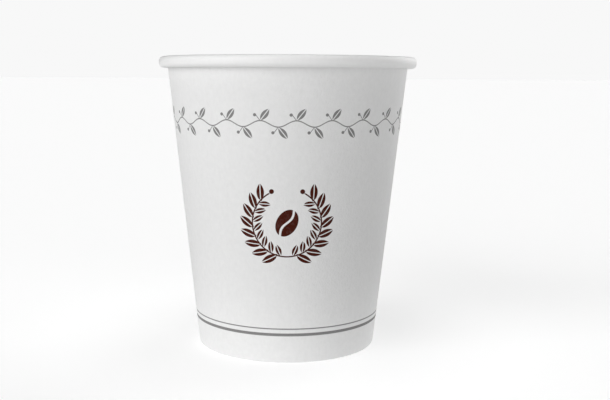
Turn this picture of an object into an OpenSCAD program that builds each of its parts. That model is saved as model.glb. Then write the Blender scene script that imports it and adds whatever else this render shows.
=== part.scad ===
// Single-wall paper coffee cup, mouth up, standing on its foot.
// The axis is Z and the foot stands on z = 0. Every section is drawn with x as the
// radius and y as the height, and is then turned round the axis.
// The wall is one sheet of board: it is lapped into a cone, its lower margin is folded
// in and up as a hem, and its upper margin is rolled outwards as the rim. The base is a
// second sheet, a disc whose edge is turned down into the pocket between wall and hem.

/* [Cup] */
// Diameter over the rolled rim
rim_d = 80; // [74:1:90]
// Diameter of the wall at the foot
foot_d = 56; // [50:1:60]
// Height from the foot to the top of the rim
cup_h = 90; // [70:1:120]

/* [Board] */
// Thickness of the wall's board
wall_t = 0.35; // [0.25:0.05:0.45]
// Thickness of the base's board
base_t = 0.35; // [0.25:0.05:0.45]
// Clearance on each side of the base's skirt
skirt_gap = 0.05; // [0.03:0.01:0.1]

/* [Rolled rim] */
// Width of the roll, measured across the wall
roll_w = 2.9; // [2.7:0.1:3.4]
// Height of the roll
roll_h = 3.5; // [3.5:0.1:4.5]
// Turn of the edge that is tucked up inside the roll
tuck_turn = 150; // [100:5:160]

/* [Side seam] */
// Width of the lap, where the wall has two plies
lap_w = 7; // [5:0.5:10]

/* [Foot] */
// Height of the hem above the foot
hem_h = 6.4; // [5:0.1:7]
// Outer radius of the two bends at the hem's fold
fold_r = 0.4; // [0.35:0.01:0.45]
// Height of the base's upper face above the foot
base_lift = 8; // [8:0.5:12]
// Outer radius of the bend round the base's edge
base_bend_r = 0.8; // [0.6:0.1:1.2]
// Clearance under the skirt's lower edge
skirt_clear = 0.4; // [0.2:0.1:1]

/* [Hidden] */
$fn = 96;

rim_r = rim_d / 2;
foot_r = foot_d / 2;
roll_r = roll_w / 2;

// Centre of the roll's upper bend, seen from the wall's outer edge at the foot
roll_x = rim_r - roll_r;
roll_y = cup_h - roll_r;
reach = norm([roll_x - foot_r, roll_y]);
// Slope of the wall from the vertical, where its strip runs straight into the roll
wall_tilt = acos((roll_r - wall_t) / reach) - atan2(roll_y, roll_x - foot_r);
// Length of the wall from the foot to the roll, along its slope
wall_len = (roll_x - foot_r) * sin(wall_tilt) + roll_y * cos(wall_tilt);

// Depths below the wall's outer face, measured square to it
skirt_out = wall_t + skirt_gap;
skirt_in = skirt_out + base_t;
hem_out = skirt_in + skirt_gap;

// Distance along the wall at which a point that lies so deep has the height y
function along(depth, y) = (y - depth * sin(wall_tilt)) / cos(wall_tilt);

// Frame that stands on the wall's outer edge at the foot and leans with the wall:
// x is outwards, square to the wall, and y runs up the wall
module lean() {
    translate([foot_r, 0]) rotate(-wall_tilt) children();
}

// Strip of board between two depths and two distances along the wall
module strip(outer, inner, from, to) {
    lean() translate([-inner, from]) square([inner - outer, to - from]);
}

// Fan with its point at the origin, from one angle to another, at most 180 degrees on
module fan(size, from, to) {
    turn = to - from;
    polygon(concat([[0, 0]], [for (i = [0:3])
        3 * size * [cos(from + turn * i / 3), sin(from + turn * i / 3)]]));
}

// Board bent round a centre, with its outer radius and its thickness
module bend(outer_r, thick, from, to) {
    intersection() {
        difference() {
            circle(outer_r);
            circle(outer_r - thick);
        }
        fan(outer_r, from, to);
    }
}

// Roll of the rim: over the top, down its outside, under it and up against the wall
module roll_section() {
    stretch = roll_h - roll_w;
    tuck_r = roll_r - wall_t;
    translate([roll_x, roll_y]) bend(roll_r, wall_t, 0, 180 - wall_tilt);
    translate([rim_r - wall_t, roll_y - stretch]) square([wall_t, stretch]);
    translate([roll_x, roll_y - stretch]) bend(roll_r, wall_t, -90, 0);
    translate([roll_x, cup_h - roll_h + tuck_r]) bend(tuck_r, wall_t, -90 - tuck_turn, -90);
}

// Fold under the foot, where the sheet turns from the wall into the hem
module fold_section(outer, inner) {
    out_x = foot_r - (outer + fold_r) * cos(wall_tilt) + along(outer + fold_r, fold_r) * sin(wall_tilt);
    in_x = foot_r - (inner - fold_r) * cos(wall_tilt) + along(inner - fold_r, fold_r) * sin(wall_tilt);
    translate([out_x, fold_r]) circle(fold_r);
    translate([in_x, fold_r]) circle(fold_r);
    translate([in_x, 0]) square([out_x - in_x, fold_r]);
}

// Lower stretch of a sheet: down the wall from some way up, round the fold and up the
// hem. The four depths are those of its faces, from the outermost to the innermost.
module folded_sheet(outer, pocket_out, pocket_in, inner, top) {
    strip(outer, pocket_out, along(outer + fold_r, fold_r), top);
    strip(pocket_in, inner, along(inner - fold_r, fold_r), along(inner, hem_h));
    difference() {
        fold_section(outer, inner);
        strip(pocket_out, pocket_in, along(pocket_out, pocket_out), along(pocket_out, 3 * fold_r));
    }
}

module sheet_section() {
    folded_sheet(0, wall_t, hem_out, hem_out + wall_t, wall_len);
    roll_section();
}

// Outer ply of the side seam, sealed half way into the first ply. It follows the sheet
// from inside the roll to the hem's edge.
module lap_section() {
    bite = wall_t / 2;
    folded_sheet(-wall_t, bite, hem_out + bite, hem_out + 2 * wall_t, wall_len - wall_t);
}

module sidewall() {
    color("white") union() {
        rotate_extrude() sheet_section();
        intersection() {
            rotate_extrude() lap_section();
            translate([-lap_w / 2, 0, -1]) cube([lap_w, rim_r, cup_h]);
        }
    }
}

// Section of the base: half the disc, the bend at its edge and the skirt
module base_section() {
    bend_y = base_lift - base_bend_r;
    bend_depth = skirt_out + base_bend_r;
    bend_x = foot_r - bend_depth * cos(wall_tilt) + along(bend_depth, bend_y) * sin(wall_tilt);
    translate([0, base_lift - base_t]) square([bend_x, base_t]);
    translate([bend_x, bend_y]) bend(base_bend_r, base_t, -wall_tilt, 90);
    strip(skirt_out, skirt_in, along(skirt_in, wall_t + skirt_clear), along(bend_depth, bend_y));
}

module base() {
    color("whitesmoke") rotate_extrude() base_section();
}

sidewall();
base();
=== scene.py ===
# %% [markdown]
# # A paper cup for hot drinks
# The real cup is two pieces of coated board: one sheet that is rolled, lapped and folded
# into the wall, and a round base set up inside the foot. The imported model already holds
# both at their true size, so it is loaded first and everything below is measured from it.
# All lengths in this script are metres, and millimetres are written as 2.9 * MM.

import bmesh
import bpy
import numpy as np
from mathutils import Matrix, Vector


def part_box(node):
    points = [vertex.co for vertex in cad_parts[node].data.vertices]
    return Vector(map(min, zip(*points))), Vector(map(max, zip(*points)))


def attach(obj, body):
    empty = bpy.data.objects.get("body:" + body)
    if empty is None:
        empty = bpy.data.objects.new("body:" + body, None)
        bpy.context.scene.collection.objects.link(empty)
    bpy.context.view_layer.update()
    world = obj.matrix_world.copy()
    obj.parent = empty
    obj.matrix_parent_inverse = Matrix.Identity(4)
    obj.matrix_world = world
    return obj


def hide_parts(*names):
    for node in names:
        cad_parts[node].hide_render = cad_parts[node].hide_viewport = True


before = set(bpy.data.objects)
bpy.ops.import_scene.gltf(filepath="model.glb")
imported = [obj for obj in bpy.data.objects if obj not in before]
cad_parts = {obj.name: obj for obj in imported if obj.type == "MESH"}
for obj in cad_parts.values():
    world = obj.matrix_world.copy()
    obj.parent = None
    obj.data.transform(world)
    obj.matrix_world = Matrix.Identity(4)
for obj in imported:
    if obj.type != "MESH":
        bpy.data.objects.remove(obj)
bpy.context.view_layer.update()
MM = 0.001
print("pieces in the packed model:", sorted(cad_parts))

# %% [markdown]
# ## The camera
# The photograph looks at the cup from a little below the rim, at a short distance, with
# the lens tipped down. The rim's far side is hidden, the foot shows as a curve, and the
# walls lean in more than they really do. Those three facts fix the height, distance and
# tilt of the camera. A small sideways lens shift puts the cup left of the middle, where
# the photograph has it, without turning the camera.

# %% Camera
IMAGE_WIDTH = 610
FOCAL_LENGTH_PIXELS = 916.07
AXIS_COLUMN = 287.04
CAMERA_DISTANCE = 290.12 * MM
CAMERA_HEIGHT = 84.12 * MM
CAMERA_DIP = 0.13442
CAMERA_ROLL = 0.00525
SENSOR_WIDTH = 36.0


def photo_camera():
    """A camera on -Y that looks along +Y, dips below the horizon and rolls slightly."""
    lens = bpy.data.cameras.new("photo_camera")
    lens.sensor_width = SENSOR_WIDTH
    lens.lens = SENSOR_WIDTH * FOCAL_LENGTH_PIXELS / IMAGE_WIDTH
    lens.shift_x = (IMAGE_WIDTH / 2 - AXIS_COLUMN) / IMAGE_WIDTH
    lens.clip_start = 10 * MM
    camera = bpy.data.objects.new("photo_camera", lens)
    level = Matrix.Rotation(np.pi / 2 - CAMERA_DIP, 4, "X")
    roll = Matrix.Rotation(CAMERA_ROLL, 4, "Z")
    place = Matrix.Translation((0, -CAMERA_DISTANCE, CAMERA_HEIGHT))
    camera.matrix_world = place @ level @ roll
    bpy.context.scene.collection.objects.link(camera)
    return camera


bpy.context.scene.camera = photo_camera()
print("focal length:", round(bpy.context.scene.camera.data.lens, 1), "mm on a 36 mm sensor")

# %% [markdown]
# ## The section of the sheet
# Cut a paper cup down one side and the sheet shows as a single line. It starts at the
# hem's edge inside the foot, runs down, turns under the base's skirt, climbs the wall and
# curls outwards into the rim. That line is drawn here once, half way through the board,
# as straight runs and arcs. Each point also gets a normal that points to the printed side
# of the board, so both faces come from the same line by stepping half a thickness. The
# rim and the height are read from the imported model, and the rest are the sizes it has.

# %% Sizes of the section
_, wall_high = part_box("sidewall")
base_low, base_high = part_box("base")
RIM_R = min(wall_high.x, wall_high.y)
CUP_H = wall_high.z
FOOT_R = 28 * MM
BOARD = 0.35 * MM
BASE_BOARD = 0.35 * MM
SKIRT_GAP = 0.05 * MM
ROLL_W = 2.9 * MM
ROLL_H = 3.5 * MM
TUCK_TURN = np.radians(150)
HEM_H = 6.4 * MM
FOLD_R = 0.4 * MM

roll_r = ROLL_W / 2
roll_x = RIM_R - roll_r
roll_z = CUP_H - roll_r
reach = np.hypot(roll_x - FOOT_R, roll_z)
TILT = np.arccos((roll_r - BOARD) / reach) - np.arctan2(roll_z, roll_x - FOOT_R)
UP_WALL = np.array([np.sin(TILT), np.cos(TILT)])
OUT_OF_WALL = np.array([np.cos(TILT), -np.sin(TILT)])
print("the wall leans", round(np.degrees(TILT), 2), "degrees")


# %% Runs and arcs
def run(start, end, count, normal):
    """Evenly spaced points from start to end, which all have the same normal."""
    share = np.linspace(0, 1, count)[:, None]
    points = np.asarray(start) + share * (np.asarray(end) - np.asarray(start))
    return points, np.tile(normal, (count, 1))


def arc(centre, radius, start, end, count, facing):
    """Points at a radius from a centre, from one angle to another. The normals point
    away from the centre where facing is 1, and towards it where facing is -1."""
    angle = np.linspace(start, end, count)
    spoke = np.column_stack([np.cos(angle), np.sin(angle)])
    return np.asarray(centre) + radius * spoke, facing * spoke


def joined(*pieces):
    """Pieces laid end to end, without the point that each shares with the one before."""
    points = np.vstack([pieces[0][0]] + [piece[0][1:] for piece in pieces[1:]])
    normals = np.vstack([pieces[0][1]] + [piece[1][1:] for piece in pieces[1:]])
    return points, normals


def on_lean(depth, height):
    """The point that lies so deep under the wall's printed face and so high."""
    along = (height - depth * np.sin(TILT)) / np.cos(TILT)
    return np.array([FOOT_R, 0]) - depth * OUT_OF_WALL + along * UP_WALL


# %% The section's line
half_board = BOARD / 2
skirt_pocket = BASE_BOARD + 2 * SKIRT_GAP
hem_depth = BOARD + skirt_pocket + half_board
wall_corner = on_lean(FOLD_R, FOLD_R)
hem_corner = on_lean(hem_depth + half_board - FOLD_R, FOLD_R)
fold_mid_r = FOLD_R - half_board
roll_top = np.array([roll_x, roll_z])
roll_foot = roll_top - [0, ROLL_H - ROLL_W]
roll_mid_r = roll_r - half_board
roll_side = np.array([roll_mid_r, 0])
tuck_r = roll_r - BOARD
tuck_centre = np.array([roll_x, CUP_H - ROLL_H + tuck_r])
quarter = np.pi / 2

hem = run(on_lean(hem_depth, HEM_H), hem_corner - fold_mid_r * OUT_OF_WALL, 9, -OUT_OF_WALL)
hem_bend = arc(hem_corner, fold_mid_r, np.pi - TILT, 3 * quarter, 6, 1)
floor_run = run(hem_corner - [0, fold_mid_r], wall_corner - [0, fold_mid_r], 3, [0, -1])
wall_bend = arc(wall_corner, fold_mid_r, 3 * quarter, 2 * np.pi - TILT, 6, 1)
wall_foot = wall_corner + fold_mid_r * OUT_OF_WALL
wall_head = roll_top - roll_mid_r * OUT_OF_WALL
wall = run(wall_foot, wall_head, 19, OUT_OF_WALL)
over = arc(roll_top, roll_mid_r, np.pi - TILT, 0, 15, -1)
outside = run(roll_top + roll_side, roll_foot + roll_side, 3, [-1, 0])
under = arc(roll_foot, roll_mid_r, 0, -quarter, 8, -1)
tuck = arc(tuck_centre, tuck_r - half_board, -quarter, -quarter - TUCK_TURN, 10, -1)

pieces_in_order = (hem, hem_bend, floor_run, wall_bend, wall, over, outside, under, tuck)
section, section_normal = joined(*pieces_in_order)
step_length = np.linalg.norm(np.diff(section, axis=0), axis=1)
travel = np.concatenate([[0], np.cumsum(step_length)])
print("points along the section:", len(section))
print("width of the flat sheet:", round(travel[-1] / MM, 1), "mm")

# %% [markdown]
# ## One sheet, wrapped and lapped
# The blank is a little longer than the way round the cup. Its first edge lies inside, its
# last edge lies outside, and the two overlap by 7 mm in a heat-sealed seam at the back.
# The sheet is therefore a grid with two parameters, the turn round the axis and the way
# along the section, and it never closes on itself. Just before the outer ply reaches the
# inner ply's edge it steps out by one thickness over about 2 mm, as stiff board does.
# Under the foot there is no room below, so both plies are pushed up by one thickness
# there, and the outer ply still stands on the table.

# %% The lap
LAP_W = 7 * MM
RIDE_UP = np.radians(3)
SEAM = np.pi / 2
FRONT = 3 * np.pi / 2
HEM_RIBS = 84
COLUMNS = 6 * HEM_RIBS + 16
RIB_DEPTH = 0.08 * MM
SEAL = 0.01 * MM
PUSHED_UP_TO = 1.2 * MM
PUSH_FADES_OVER = 2.8 * MM


def ease(share):
    """A smooth step from 0 to 1 that starts and ends level: 3 s squared less 2 s cubed."""
    share = np.clip(share, 0, 1)
    return share * share * (3 - 2 * share)


def lap_half_angle(radius):
    """Half the lap's angle where the wall has this radius, for a lap of constant width."""
    return np.arcsin(LAP_W / 2 / np.minimum(radius, RIM_R - ROLL_W))


def near_foot():
    """1 at the fold, easing to 0 further up, measured along the section on both sides."""
    fold_middle = len(hem[0]) + len(hem_bend[0]) - 1
    distance = np.abs(travel - travel[fold_middle])
    return 1 - ease((distance - PUSHED_UP_TO) / PUSH_FADES_OVER)


# %% Grid of the sheet
def sheet_grid():
    """Turn, ply offset and push-up for each point of the grid, as arrays with one row
    for each point of the section and one column for each step round the cup.

    The turn runs from the inner edge once round and on past it by the lap. The offset
    eases from 0 to 1 over the last few degrees before the inner edge is met again, and
    stays 1. The push-up is 1 over the whole lap and eases to 0 on each side of it."""
    half = lap_half_angle(section[:, :1])
    share = np.linspace(0, 1, COLUMNS)[None, :]
    inner_edge = SEAM - half
    turn = inner_edge + share * (2 * np.pi + 2 * half)
    offset = ease((turn - (inner_edge + 2 * np.pi - RIDE_UP)) / RIDE_UP)
    after = 1 - ease((turn - (inner_edge + 2 * half)) / RIDE_UP)
    push_up = np.maximum(offset, after) * near_foot()[:, None]
    return turn, offset, push_up


def hem_groove(turn):
    """Depth of the sealing ribs pressed into the hem: the rib depth times one less a
    cosine of the turn, faded out at the hem's edge and at the fold."""
    rows = len(hem[0])
    fade = np.zeros(len(section))
    fade[:rows] = np.sin(np.linspace(0, np.pi, rows)) ** 0.5
    return RIB_DEPTH * (1 - np.cos(HEM_RIBS * turn)) * fade[:, None]


print("grid of one face of the sheet:", len(section), "by", COLUMNS, "points")


# %% Faces of the sheet
def sheet_face(side):
    """One face of the board. Each point is the section's point, moved up the wall by the
    push-up, out by the ply offset and by half a thickness, then turned about the axis."""
    turn, offset, push_up = sheet_grid()
    outwards = offset * (BOARD + SEAL) + side * half_board
    if side > 0:
        outwards = outwards - hem_groove(turn)
    lift = (BOARD + SEAL) / UP_WALL[1] * push_up
    radius = section[:, :1] + section_normal[:, :1] * outwards + UP_WALL[0] * lift
    height = section[:, 1:] + section_normal[:, 1:] * outwards + UP_WALL[1] * lift
    return np.stack([radius * np.cos(turn), radius * np.sin(turn), height], axis=-1)


def blank_map():
    """Where each point lies on the flat blank: metres round the cup from the middle of
    the front, and metres along the section from the foot."""
    turn, _, _ = sheet_grid()
    foot = travel[len(hem[0]) + len(hem_bend[0]) - 1]
    around = (turn - FRONT) * section[:, :1]
    along = np.broadcast_to((travel - foot)[:, None], turn.shape)
    return np.stack([around, along], axis=-1)


# %% Board from two faces
WELD_DISTANCE = 0.001 * MM
SHARP_EDGE = np.radians(50)


def quads(rows, columns, first=0):
    """Corner numbers of every cell in a grid, counted from a first vertex."""
    at = first + np.arange(rows * columns).reshape(rows, columns)
    return np.stack([at[:-1, :-1], at[:-1, 1:], at[1:, 1:], at[1:, :-1]], axis=-1).reshape(-1, 4)


def strip_between(one, other):
    """Faces between two rows of vertices of equal length."""
    return np.stack([one[:-1], one[1:], other[1:], other[:-1]], axis=-1)


def make_piece(name, points, faces, materials, face_material, blank=None):
    """A mesh object at the origin, shaded smooth, with one material number for each face
    and, where it is given, the flat blank as its UV map. Points that fall together, at
    a pole or where a grid closes on itself, are welded into one."""
    mesh = bpy.data.meshes.new(name)
    mesh.from_pydata(points.tolist(), [], faces.tolist())
    for material in materials:
        mesh.materials.append(material)
    mesh.polygons.foreach_set("material_index", face_material.astype(np.int32))
    if blank is not None:
        corners = np.empty(len(mesh.loops), np.int32)
        mesh.loops.foreach_get("vertex_index", corners)
        layer = mesh.uv_layers.new(name="blank")
        layer.data.foreach_set("uv", blank[corners].ravel().astype(np.float32))
    soup = bmesh.new()
    soup.from_mesh(mesh)
    bmesh.ops.remove_doubles(soup, verts=soup.verts, dist=WELD_DISTANCE)
    soup.to_mesh(mesh)
    soup.free()
    mesh.shade_smooth()
    mesh.set_sharp_from_angle(angle=SHARP_EDGE)
    piece = bpy.data.objects.new(name, mesh)
    bpy.context.scene.collection.objects.link(piece)
    return piece


PRINTED, LINED, CUT_EDGE = 0, 1, 2


def sheet_mesh(name, materials):
    """The whole sheet as a closed solid: printed face, lined face and four cut edges."""
    printed, lined = sheet_face(1), sheet_face(-1)
    rows, columns = printed.shape[:2]
    count = rows * columns
    outer = np.arange(count).reshape(rows, columns)
    inner = outer + count
    edges = [
        strip_between(outer[0], inner[0])[:, ::-1],
        strip_between(outer[-1], inner[-1]),
        strip_between(outer[:, 0], inner[:, 0]),
        strip_between(outer[:, -1], inner[:, -1])[:, ::-1],
    ]
    face_groups = [quads(rows, columns), quads(rows, columns, count)[:, ::-1], np.vstack(edges)]
    numbers = np.repeat([PRINTED, LINED, CUT_EDGE], [len(group) for group in face_groups])
    points = np.concatenate([printed.reshape(-1, 3), lined.reshape(-1, 3)])
    blank = np.concatenate([blank_map().reshape(-1, 2)] * 2)
    return make_piece(name, points, np.vstack(face_groups), materials, numbers, blank)


# %% [markdown]
# ## The base
# The base is a disc punched from board of its own. Its edge is turned down as a skirt, which
# the hem grips. A flat disc has too much board at its edge for a skirt, so the skirt
# gathers in tiny even pleats. The former also leaves the disc very slightly domed, with
# a faint ring where its rim pressed. The section is carried once round the axis.

# %% Section of the base
BEND_R = 0.8 * MM
DOME = 0.25 * MM
RING_DEPTH = 0.20 * MM
RING_INSET = 2.5 * MM
RING_WIDTH = 0.6 * MM
PLEATS = 96
PLEAT_DEPTH = 0.02 * MM
PLEATS_START_ROW = 3
PLEATS_GROW_ROWS = 8
BASE_COLUMNS = 4 * PLEATS + 1
base_lift = base_high.z
skirt_end = base_low.z

half_base = BASE_BOARD / 2
skirt_depth = BOARD + SKIRT_GAP + half_base
bend_centre = on_lean(skirt_depth - half_base + BEND_R, base_lift - BEND_R)
skirt_top = bend_centre + (BEND_R - half_base) * OUT_OF_WALL
skirt_foot = on_lean(skirt_depth, skirt_end + half_base * np.sin(TILT))
disc_edge = [bend_centre[0], base_lift - half_base]
disc = run([0, base_lift - half_base], disc_edge, 40, [0, -1])
disc_bend = arc(bend_centre, BEND_R - half_base, quarter, -TILT, 8, -1)
skirt = run(skirt_top, skirt_foot, 8, -OUT_OF_WALL)
base_section, base_normal = joined(disc, disc_bend, skirt)
print("the base stands", round(base_lift / MM, 2), "mm above the table")


# %% Grid of the base
def base_face(side):
    """One face of the base. The disc sinks from its edge to its middle by the square of
    one less the radius squared, and dips in a narrow bell-shaped ring inside the bend.
    The skirt carries a cosine of small pleats. They start a few rows into the bend and
    grow row by row towards the lower edge."""
    radius, height = base_section[:, :1], base_section[:, 1:]
    turn = np.linspace(0, 2 * np.pi, BASE_COLUMNS)[None, :]
    on_disc = np.arange(len(base_section))[:, None] < len(disc[0])
    middle = np.clip(radius / disc_edge[0], 0, 1)
    ring = np.exp(-(((radius - disc_edge[0] + RING_INSET) / RING_WIDTH) ** 2))
    press = on_disc * (RING_DEPTH * ring + DOME * (1 - middle**2) ** 2)
    rows_past_disc = np.arange(len(base_section))[:, None] - len(disc[0])
    growth = np.clip((rows_past_disc - PLEATS_START_ROW) / PLEATS_GROW_ROWS, 0, 1)
    pleat = PLEAT_DEPTH * np.cos(PLEATS * turn) * growth
    outwards = side * half_base + pleat
    r = radius + base_normal[:, :1] * outwards
    z = height + base_normal[:, 1:] * outwards - press
    r = np.broadcast_to(r, (len(base_section), BASE_COLUMNS))
    z = np.broadcast_to(z, (len(base_section), BASE_COLUMNS))
    return np.stack([r * np.cos(turn), r * np.sin(turn), z], axis=-1)


UNDER, DRINK_SIDE, SKIRT_EDGE = 0, 1, 2


def base_mesh(name, materials):
    """The base as a closed solid: both faces and the skirt's cut edge. Its grids start
    at the axis and close on themselves, and are welded there."""
    under_side, drink_side = base_face(1), base_face(-1)
    rows, columns = under_side.shape[:2]
    count = rows * columns
    lower = np.arange(count).reshape(rows, columns)
    edge = strip_between(lower[-1], lower[-1] + count)
    face_groups = [quads(rows, columns), quads(rows, columns, count)[:, ::-1], edge]
    numbers = np.repeat([UNDER, DRINK_SIDE, SKIRT_EDGE], [len(group) for group in face_groups])
    points = np.concatenate([under_side.reshape(-1, 3), drink_side.reshape(-1, 3)])
    return make_piece(name, points, np.vstack(face_groups), materials, numbers)


print("grid of one face of the base:", len(base_section), "by", BASE_COLUMNS, "points")

# %% [markdown]
# ## Writing patterns as arithmetic
# Print on a cup is flat ink with crisp edges, so it is drawn with formulas rather than
# with a picture. Blender does arithmetic on a surface with Math nodes. A small class lets
# those nodes be written as ordinary sums, which keeps each motif to a few lines.

# %% A number that varies over a surface
class Field:
    """A value that differs from point to point. Adding, multiplying or comparing two
    fields adds one Math node for each sign."""

    def __init__(self, tree, socket):
        self.tree = tree
        self.socket = socket

    def math(self, operation, *others, clamp=False):
        """One Math node that takes this field first and then the others."""
        node = self.tree.nodes.new("ShaderNodeMath")
        node.operation = operation
        node.use_clamp = clamp
        for socket, value in zip(node.inputs, (self, *others)):
            if isinstance(value, Field):
                self.tree.links.new(value.socket, socket)
            else:
                socket.default_value = value
        return Field(self.tree, node.outputs[0])

    def __add__(self, other):
        return self.math("ADD", other)

    def __sub__(self, other):
        return self.math("SUBTRACT", other)

    def __mul__(self, other):
        return self.math("MULTIPLY", other)

    def __truediv__(self, other):
        return self.math("DIVIDE", other)

    def __abs__(self):
        return self.math("ABSOLUTE")

    def sine(self):
        return self.math("SINE")

    def at_least(self, other):
        return self.math("MAXIMUM", other)

    def at_most(self, other):
        return self.math("MINIMUM", other)

    def fraction(self):
        return self.math("FRACT")

    def floor(self):
        return self.math("FLOOR")


def length(x, y):
    """How far a point is from the middle: the root of x squared plus y squared."""
    return (x * x + y * y).math("SQRT")


def turned(x, y, degrees):
    """The same point, seen in axes that are turned anticlockwise by an angle."""
    sine, cosine = np.sin(np.radians(degrees)), np.cos(np.radians(degrees))
    return x * cosine + y * sine, y * cosine - x * sine


# %% [markdown]
# ## Print
# Cup board is printed flat, before it is cut and rolled, so the design is laid out on the
# blank in its own millimetres and wraps with the sheet. It is a plain botanical design in
# two inks: a brown wreath of leaves round a coffee bean on the front, a grey garland under
# the rim, and a pair of thin grey lines above the foot. A motif is given by how far a
# point lies outside it in millimetres. A value under zero is inked, two motifs join with
# the smaller value, and a cut takes the larger one.

# %% Motifs
INK_EDGE = 0.07
HALF_VEIN = 0.13
LEAF_LEAN = 38
BEAN_TURN = 28
RING_CELLS = 22
LEAVES_UP_EACH_SIDE = 8


def leaf(x, y, long, wide):
    """A lens shape, long along y: the distance across, less a half width that falls as a
    parabola from the middle to both tips. A thin vein is left bare down the middle."""
    middle = y * (2 / long)
    body = abs(x) - (middle * middle * (-wide / 2) + wide / 2)
    vein = abs(x) * -1 + HALF_VEIN
    return body.at_least(vein)


def climb(x, y):
    """The angle from the lowest point of a ring, the same up both of its sides."""
    return abs(x.math("ARCTAN2", y * -1))


def leaves_on_ring(x, y, ring, long, wide, lean, shift):
    """Leaves up both sides of a ring. The climb is cut into equal cells with one leaf in
    each, and the cells at the very bottom and at the top stay empty."""
    cell = 2 * np.pi / RING_CELLS
    place = climb(x, y) / cell + shift
    across = (place.fraction() - 0.5) * cell * length(x, y)
    outwards = length(x, y) - ring
    leaf_x, leaf_y = turned(across, outwards, lean)
    too_high = place.floor() - (LEAVES_UP_EACH_SIDE + 0.5)
    too_low = place.floor() * -1 + 0.5
    return leaf(leaf_x, leaf_y, long, wide).at_least(too_high).at_least(too_low)


def wreath(x, y):
    """A twig bent into an open ring, with long leaves outside, short ones inside and a
    berry at each of its two ends."""
    twig_r, twig_half_width, twig_end = 10, 0.2, 2.62
    berry_out, berry_up, berry_r = 4.4, 9.2, 0.7
    outer_r, outer_long, outer_wide = 11.7, 5.6, 2.2
    inner_r, inner_long, inner_wide = 8.45, 3.8, 1.6
    twig = (abs(length(x, y) - twig_r) - twig_half_width).at_least(climb(x, y) - twig_end)
    berries = length(abs(x) - berry_out, y - berry_up) - berry_r
    outer = leaves_on_ring(x, y, outer_r, outer_long, outer_wide, -LEAF_LEAN, 0)
    inner = leaves_on_ring(x, y, inner_r, inner_long, inner_wide, LEAF_LEAN, 0.5)
    return outer.at_most(inner).at_most(twig).at_most(berries)


def bean(x, y, long, wide):
    """An ellipse with a bare wavy line along it, turned a little to the right."""
    wave_height, crease_half_width = wide * 0.1, wide * 0.055
    x, y = turned(x, y, -BEAN_TURN)
    body = (length(x / (wide / 2), y / (long / 2)) - 1) * (wide / 2)
    wave = (y * (2 * np.pi / long)).sine() * wave_height
    crease = abs(x - wave) * -1 + crease_half_width
    return body.at_least(crease)


def sprig(periods, y, period):
    """A leaf and a berry, once in every period, that stand on the crest of a wave."""
    leaf_right, leaf_up, leaf_long, leaf_wide = 1.3, 2.6, 4.2, 1.8
    berry_left, berry_up, berry_r = 1.5, 2.5, 0.45
    stalk_foot, stalk_lean, stalk_half_width = 0.9, 0.75, 0.12
    stalk_middle, stalk_half_height = 1.6, 0.8
    x = (periods.fraction() - 0.5) * period
    leaf_x, leaf_y = turned(x - leaf_right, y - leaf_up, -LEAF_LEAN)
    berry = length(x + berry_left, y - berry_up) - berry_r
    stalk = abs(x + (y - stalk_foot) * stalk_lean) - stalk_half_width
    stalk = stalk.at_least(abs(y - stalk_middle) - stalk_half_height)
    return leaf(leaf_x, leaf_y, leaf_long, leaf_wide).at_most(berry).at_most(stalk)


def garland(periods, y, period):
    """A stem that waves as a sine, with a sprig on each crest and, upside down, in each
    trough."""
    wave_height, stem_half_width = 0.9, 0.16
    stem = abs(y - (periods * (2 * np.pi)).sine() * wave_height) - stem_half_width
    above = sprig(periods + 0.25, y, period)
    below = sprig(periods + 0.75, y * -1, period)
    return stem.at_most(above).at_most(below)


# %% Inks
BROWN_INK = (0.0580, 0.0058, 0.0005, 1)
GREY_INK = (0.230, 0.228, 0.226, 1)
WREATH_HEIGHT = 43
BEAN_LONG = 8.4
BEAN_WIDE = 6
GARLAND_HEIGHT = 71.5
GARLAND_REPEATS = 22
GARLAND_PERIOD = 10
WIDE_LINE_HEIGHT = 9
WIDE_LINE_HALF_WIDTH = 0.45
THIN_LINE_HEIGHT = 10.8
THIN_LINE_HALF_WIDTH = 0.18


def covered(distance):
    """1 inside a motif, 0 outside it and an even blend over the ink's soft edge."""
    return (distance * (-1 / INK_EDGE) + 0.5).math("ADD", 0.0, clamp=True)


def print_on_blank(tree):
    """Cover of the brown ink and of the grey ink, from the flat blank's millimetres."""
    place = tree.nodes.new("ShaderNodeUVMap")
    place.uv_map = "blank"
    split = tree.nodes.new("ShaderNodeSeparateXYZ")
    tree.links.new(place.outputs["UV"], split.inputs[0])
    x = Field(tree, split.outputs["X"]) * (1 / MM)
    y = Field(tree, split.outputs["Y"]) * (1 / MM)
    rise = y - WREATH_HEIGHT
    brown = wreath(x, rise).at_most(bean(x, rise, BEAN_LONG, BEAN_WIDE))
    local_radius = y * float(np.sin(TILT)) + FOOT_R / MM
    periods = x / local_radius * (GARLAND_REPEATS / (2 * np.pi))
    ring = garland(periods, y - GARLAND_HEIGHT, GARLAND_PERIOD)
    wide_line = abs(y - WIDE_LINE_HEIGHT) - WIDE_LINE_HALF_WIDTH
    thin_line = abs(y - THIN_LINE_HEIGHT) - THIN_LINE_HALF_WIDTH
    return covered(brown), covered(ring.at_most(wide_line).at_most(thin_line))


# %% [markdown]
# ## Board
# Cup board is white, clay coated on the printed side and nearly matt. It is never quite
# even: the fibres under the coating leave soft clouds about a millimetre wide, and a fine
# tooth that breaks up the light. Inside, a thin skin of polyethylene makes it a little
# glossier. The cut edge is bare fibre, and so is the underside of the base. One function
# makes all four finishes, because they differ in colour, gloss and tooth only.

# %% Board finishes
def new_material(name):
    """An empty node material and its Principled shader."""
    material = bpy.data.materials.new(name)
    material.use_nodes = True
    return material, material.node_tree, material.node_tree.nodes["Principled BSDF"]


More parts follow.
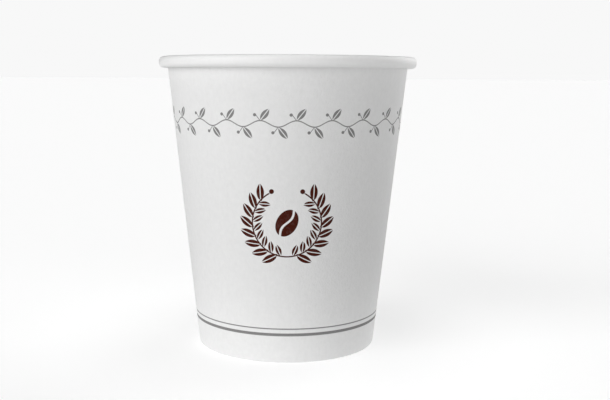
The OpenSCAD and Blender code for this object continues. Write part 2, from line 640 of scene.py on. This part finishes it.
def noise(tree, scale, stretch=(1, 1, 1), detail=3.0, rough=0.55):
    """Smooth noise in the object's metres. A stretch under 1 draws it out that way."""
    place = tree.nodes.new("ShaderNodeTexCoord")
    mapping = tree.nodes.new("ShaderNodeMapping")
    mapping.inputs["Scale"].default_value = stretch
    cloud = tree.nodes.new("ShaderNodeTexNoise")
    cloud.inputs["Scale"].default_value = scale
    cloud.inputs["Detail"].default_value = detail
    cloud.inputs["Roughness"].default_value = rough
    tree.links.new(place.outputs["Object"], mapping.inputs["Vector"])
    tree.links.new(mapping.outputs["Vector"], cloud.inputs["Vector"])
    return Field(tree, cloud.outputs["Fac"])


def blend(tree, share, first, second):
    """A colour between two others. Each is a colour or another colour's socket."""
    node = tree.nodes.new("ShaderNodeMix")
    node.data_type = "RGBA"
    tree.links.new(share.socket, node.inputs["Factor"])
    for socket, colour in zip((node.inputs[6], node.inputs[7]), (first, second)):
        if isinstance(colour, tuple):
            socket.default_value = colour
        else:
            tree.links.new(colour, socket)
    return node.outputs[2]


def bump(tree, shader, layers):
    """Bump nodes one after another, each with its height field and depth in metres."""
    before = None
    for height, depth in layers:
        node = tree.nodes.new("ShaderNodeBump")
        node.inputs["Distance"].default_value = depth
        tree.links.new(height.socket, node.inputs["Height"])
        if before is not None:
            tree.links.new(before, node.inputs["Normal"])
        before = node.outputs["Normal"]
    tree.links.new(before, shader.inputs["Normal"])


CLOUDS_PER_METRE = 900
CLOUD_CONTRAST = 2.2
CLOUD_DULLNESS = 0.12
FIBRES_PER_METRE = 1500
GRAIN_STRETCH = (1, 1, 0.7)
WAVES_PER_METRE = 55
WAVE_STRETCH = (1, 1, 0.5)
WAVE_DEPTH = 0.25 * MM
INK_COVER = 0.92
INK_UNEVENNESS = 0.16
INK_GLOSS = 0.1
PRINTED_SHINE = 0.12
BARE_SHINE = 0.4


def board(name, pale, dark, gloss, tooth, printed=False):
    """Paper board: clouds of two whites, a tooth of fine fibres that run up the cup, and
    a slow waviness. The gloss is a lowest roughness, to which the clouds add a little."""
    material, tree, shader = new_material(name)
    clouds = (noise(tree, CLOUDS_PER_METRE, GRAIN_STRETCH, 4.0) - 0.5) * CLOUD_CONTRAST
    clouds = clouds.math("ADD", 0.5, clamp=True)
    fibres = noise(tree, FIBRES_PER_METRE, GRAIN_STRETCH, 4.0, 0.65)
    waves = noise(tree, WAVES_PER_METRE, WAVE_STRETCH, 1.0)
    colour = blend(tree, clouds, dark, pale)
    roughness = clouds * CLOUD_DULLNESS + gloss
    if printed:
        brown, grey = print_on_blank(tree)
        density = fibres * INK_UNEVENNESS + INK_COVER
        colour = blend(tree, (grey * density).at_most(1.0), colour, GREY_INK)
        colour = blend(tree, (brown * density).at_most(1.0), colour, BROWN_INK)
        roughness = roughness - brown * INK_GLOSS
    tree.links.new(colour, shader.inputs["Base Color"])
    tree.links.new(roughness.socket, shader.inputs["Roughness"])
    shine = PRINTED_SHINE if printed else BARE_SHINE
    shader.inputs["Specular IOR Level"].default_value = shine
    bump(tree, shader, [(waves, WAVE_DEPTH), (fibres, tooth)])
    return material


printed_board = board(
    "printed_board",
    pale=(0.849, 0.849, 0.847, 1),
    dark=(0.809, 0.809, 0.807, 1),
    gloss=0.52,
    tooth=0.120 * MM,
    printed=True,
)
lined_board = board(
    "lined_board",
    pale=(0.885, 0.885, 0.882, 1),
    dark=(0.862, 0.862, 0.858, 1),
    gloss=0.34,
    tooth=0.012 * MM,
)
bare_board = board(
    "bare_board",
    pale=(0.835, 0.825, 0.795, 1),
    dark=(0.780, 0.768, 0.732, 1),
    gloss=0.74,
    tooth=0.035 * MM,
)
cut_board = board(
    "cut_board",
    pale=(0.820, 0.805, 0.765, 1),
    dark=(0.700, 0.680, 0.630, 1),
    gloss=0.82,
    tooth=0.050 * MM,
)
print("finishes:", [material.name for material in bpy.data.materials])

# %% [markdown]
# ## The two pieces
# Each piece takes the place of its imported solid, rides on the cup's one body and lies
# where the solid lies. The first material is for the printed or lower face, the second for
# the face towards the drink, and the third for the cut edges.

# %% Make and fit the pieces
sheet = sheet_mesh("sidewall_sheet", [printed_board, lined_board, cut_board])
disc_piece = base_mesh("base_disc", [bare_board, lined_board, cut_board])
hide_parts("sidewall")
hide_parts("base")
for piece in (sheet, disc_piece):
    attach(piece, "root")
    print(piece.name, "faces:", len(piece.data.polygons))

# %% [markdown]
# ## Floor and light
# The photograph is a cut-out on near white. Its cup is lit by one big soft source in
# front on the left and a weaker one on the right behind, which draws a paler line down
# the right edge. Between the two the wall falls to a soft grey. The last centimetre above
# the foot turns pale again all the way round, because the table under it throws light
# back. The floor here does the same, with a glow painted into it. The camera sees a plain
# pale tone up to the horizon, and what the floor throws on the cup is set apart from that:
# most of it comes from a painted pool of light close under the foot, little from a ring
# further out, where painted shade stands in for the cup's shadow, and more again beyond.
# The two lights named above are joined by four fainter ones, on the left, on the right, in
# front and above, and all six are far, round and soft.

# %% Floor
FLOOR_SIDE = 60.0
FLOOR_PAINT = 0.80
FLOOR_GLOW = 0.395
THROWN_EVENLY = 0.91
# The glow the floor throws: a painted pool of light at the foot, and painted shade in a ring
# round it that stands in for the cup's shadow.
PAINTED_LIGHT_AT_FOOT = 0.676
FOOT_PATCH_FULL = 55 * MM
FOOT_PATCH_GONE = 75 * MM
PAINTED_SHADE_IN_RING = 0.637
PAINTED_SHADE_RING_FULL = 120 * MM
PAINTED_SHADE_RING_GONE = 180 * MM


def split_by_eye(tree, thrown, seen, surface):
    """Light that travels on comes from one shader, and the camera sees the other."""
    path = tree.nodes.new("ShaderNodeLightPath")
    either = tree.nodes.new("ShaderNodeMixShader")
    tree.links.new(path.outputs["Is Camera Ray"], either.inputs[0])
    tree.links.new(thrown.outputs[0], either.inputs[1])
    tree.links.new(seen.outputs[0], either.inputs[2])
    tree.links.new(either.outputs[0], surface)


def share_within(tree, full, gone):
    """1 on the floor out to one radius and 0 from another, with an even fall between."""
    place = tree.nodes.new("ShaderNodeTexCoord")
    split = tree.nodes.new("ShaderNodeSeparateXYZ")
    tree.links.new(place.outputs["Object"], split.inputs[0])
    away = length(Field(tree, split.outputs["X"]), Field(tree, split.outputs["Y"]))
    return (away * (1 / (full - gone))).math("ADD", gone / (gone - full), clamp=True)


def plain_floor():
    """A pale matt square on the ground. The camera sees it lit, with a faint glow. The
    cup gets an even glow from it, less of it within a ring where painted shade stands in
    for the cup's shadow, and then more from a painted pool of light at the foot."""
    corner = FLOOR_SIDE / 2
    mesh = bpy.data.meshes.new("floor")
    near_edge = [(-corner, -corner, 0), (corner, -corner, 0)]
    far_edge = [(corner, corner, 0), (-corner, corner, 0)]
    mesh.from_pydata(near_edge + far_edge, [], [(0, 1, 2, 3)])
    material, tree, shader = new_material("floor_paint")
    shader.inputs["Base Color"].default_value = (FLOOR_PAINT, FLOOR_PAINT, FLOOR_PAINT, 1)
    shader.inputs["Roughness"].default_value = 1.0
    shader.inputs["Specular IOR Level"].default_value = 0.0
    shader.inputs["Emission Color"].default_value = (1, 1, 1, 1)
    shader.inputs["Emission Strength"].default_value = FLOOR_GLOW
    light = tree.nodes.new("ShaderNodeEmission")
    # Painted pool of light close under the foot, and painted shade in a ring where the cup's
    # shadow would lie.
    painted_light_at_foot = share_within(tree, FOOT_PATCH_FULL, FOOT_PATCH_GONE) * PAINTED_LIGHT_AT_FOOT
    painted_shade_in_ring = share_within(tree, PAINTED_SHADE_RING_FULL, PAINTED_SHADE_RING_GONE) * PAINTED_SHADE_IN_RING
    level = painted_light_at_foot - painted_shade_in_ring + THROWN_EVENLY
    tree.links.new(level.socket, light.inputs["Strength"])
    split_by_eye(tree, light, shader, tree.nodes["Material Output"].inputs["Surface"])
    mesh.materials.append(material)
    floor = bpy.data.objects.new("floor", mesh)
    bpy.context.scene.collection.objects.link(floor)
    return floor


plain_floor()


# %% Light
def soft_light(name, side, height, spread, strength):
    """A far, round source. Side is degrees round the cup from the camera, to the right,
    height is degrees above the floor, and spread is how wide the source looks."""
    lamp = bpy.data.lights.new(name, "SUN")
    lamp.angle = np.radians(spread)
    lamp.energy = strength * np.pi
    light = bpy.data.objects.new(name, lamp)
    face_down = Matrix.Rotation(np.radians(90 - height), 4, "X")
    light.matrix_world = Matrix.Rotation(np.radians(side), 4, "Z") @ face_down
    bpy.context.scene.collection.objects.link(light)


def plain_world(light_level, seen_level):
    """The same light from every side. The camera sees it at a tone of its own."""
    world = bpy.data.worlds.new("studio")
    world.use_nodes = True
    tree = world.node_tree
    lit = tree.nodes["Background"]
    seen = tree.nodes.new("ShaderNodeBackground")
    lit.inputs["Color"].default_value = (light_level, light_level, light_level, 1)
    seen.inputs["Color"].default_value = (seen_level, seen_level, seen_level, 1)
    split_by_eye(tree, lit, seen, tree.nodes["World Output"].inputs["Surface"])
    bpy.context.scene.world = world


soft_light("left", -105, 15, 50, 0.06)
soft_light("key", -45, 15, 60, 0.72)
soft_light("front_right", 15, 15, 50, 0.09)
soft_light("above", 0, 89, 45, 0.34)
soft_light("right", 90, 15, 40, 0.09)
soft_light("back_right", 134, 15, 48, 0.385)
plain_world(light_level=0.0, seen_level=0.938)
bpy.context.scene.view_settings.view_transform = "Standard"
print("lights:", sorted(lamp.name for lamp in bpy.data.lights))
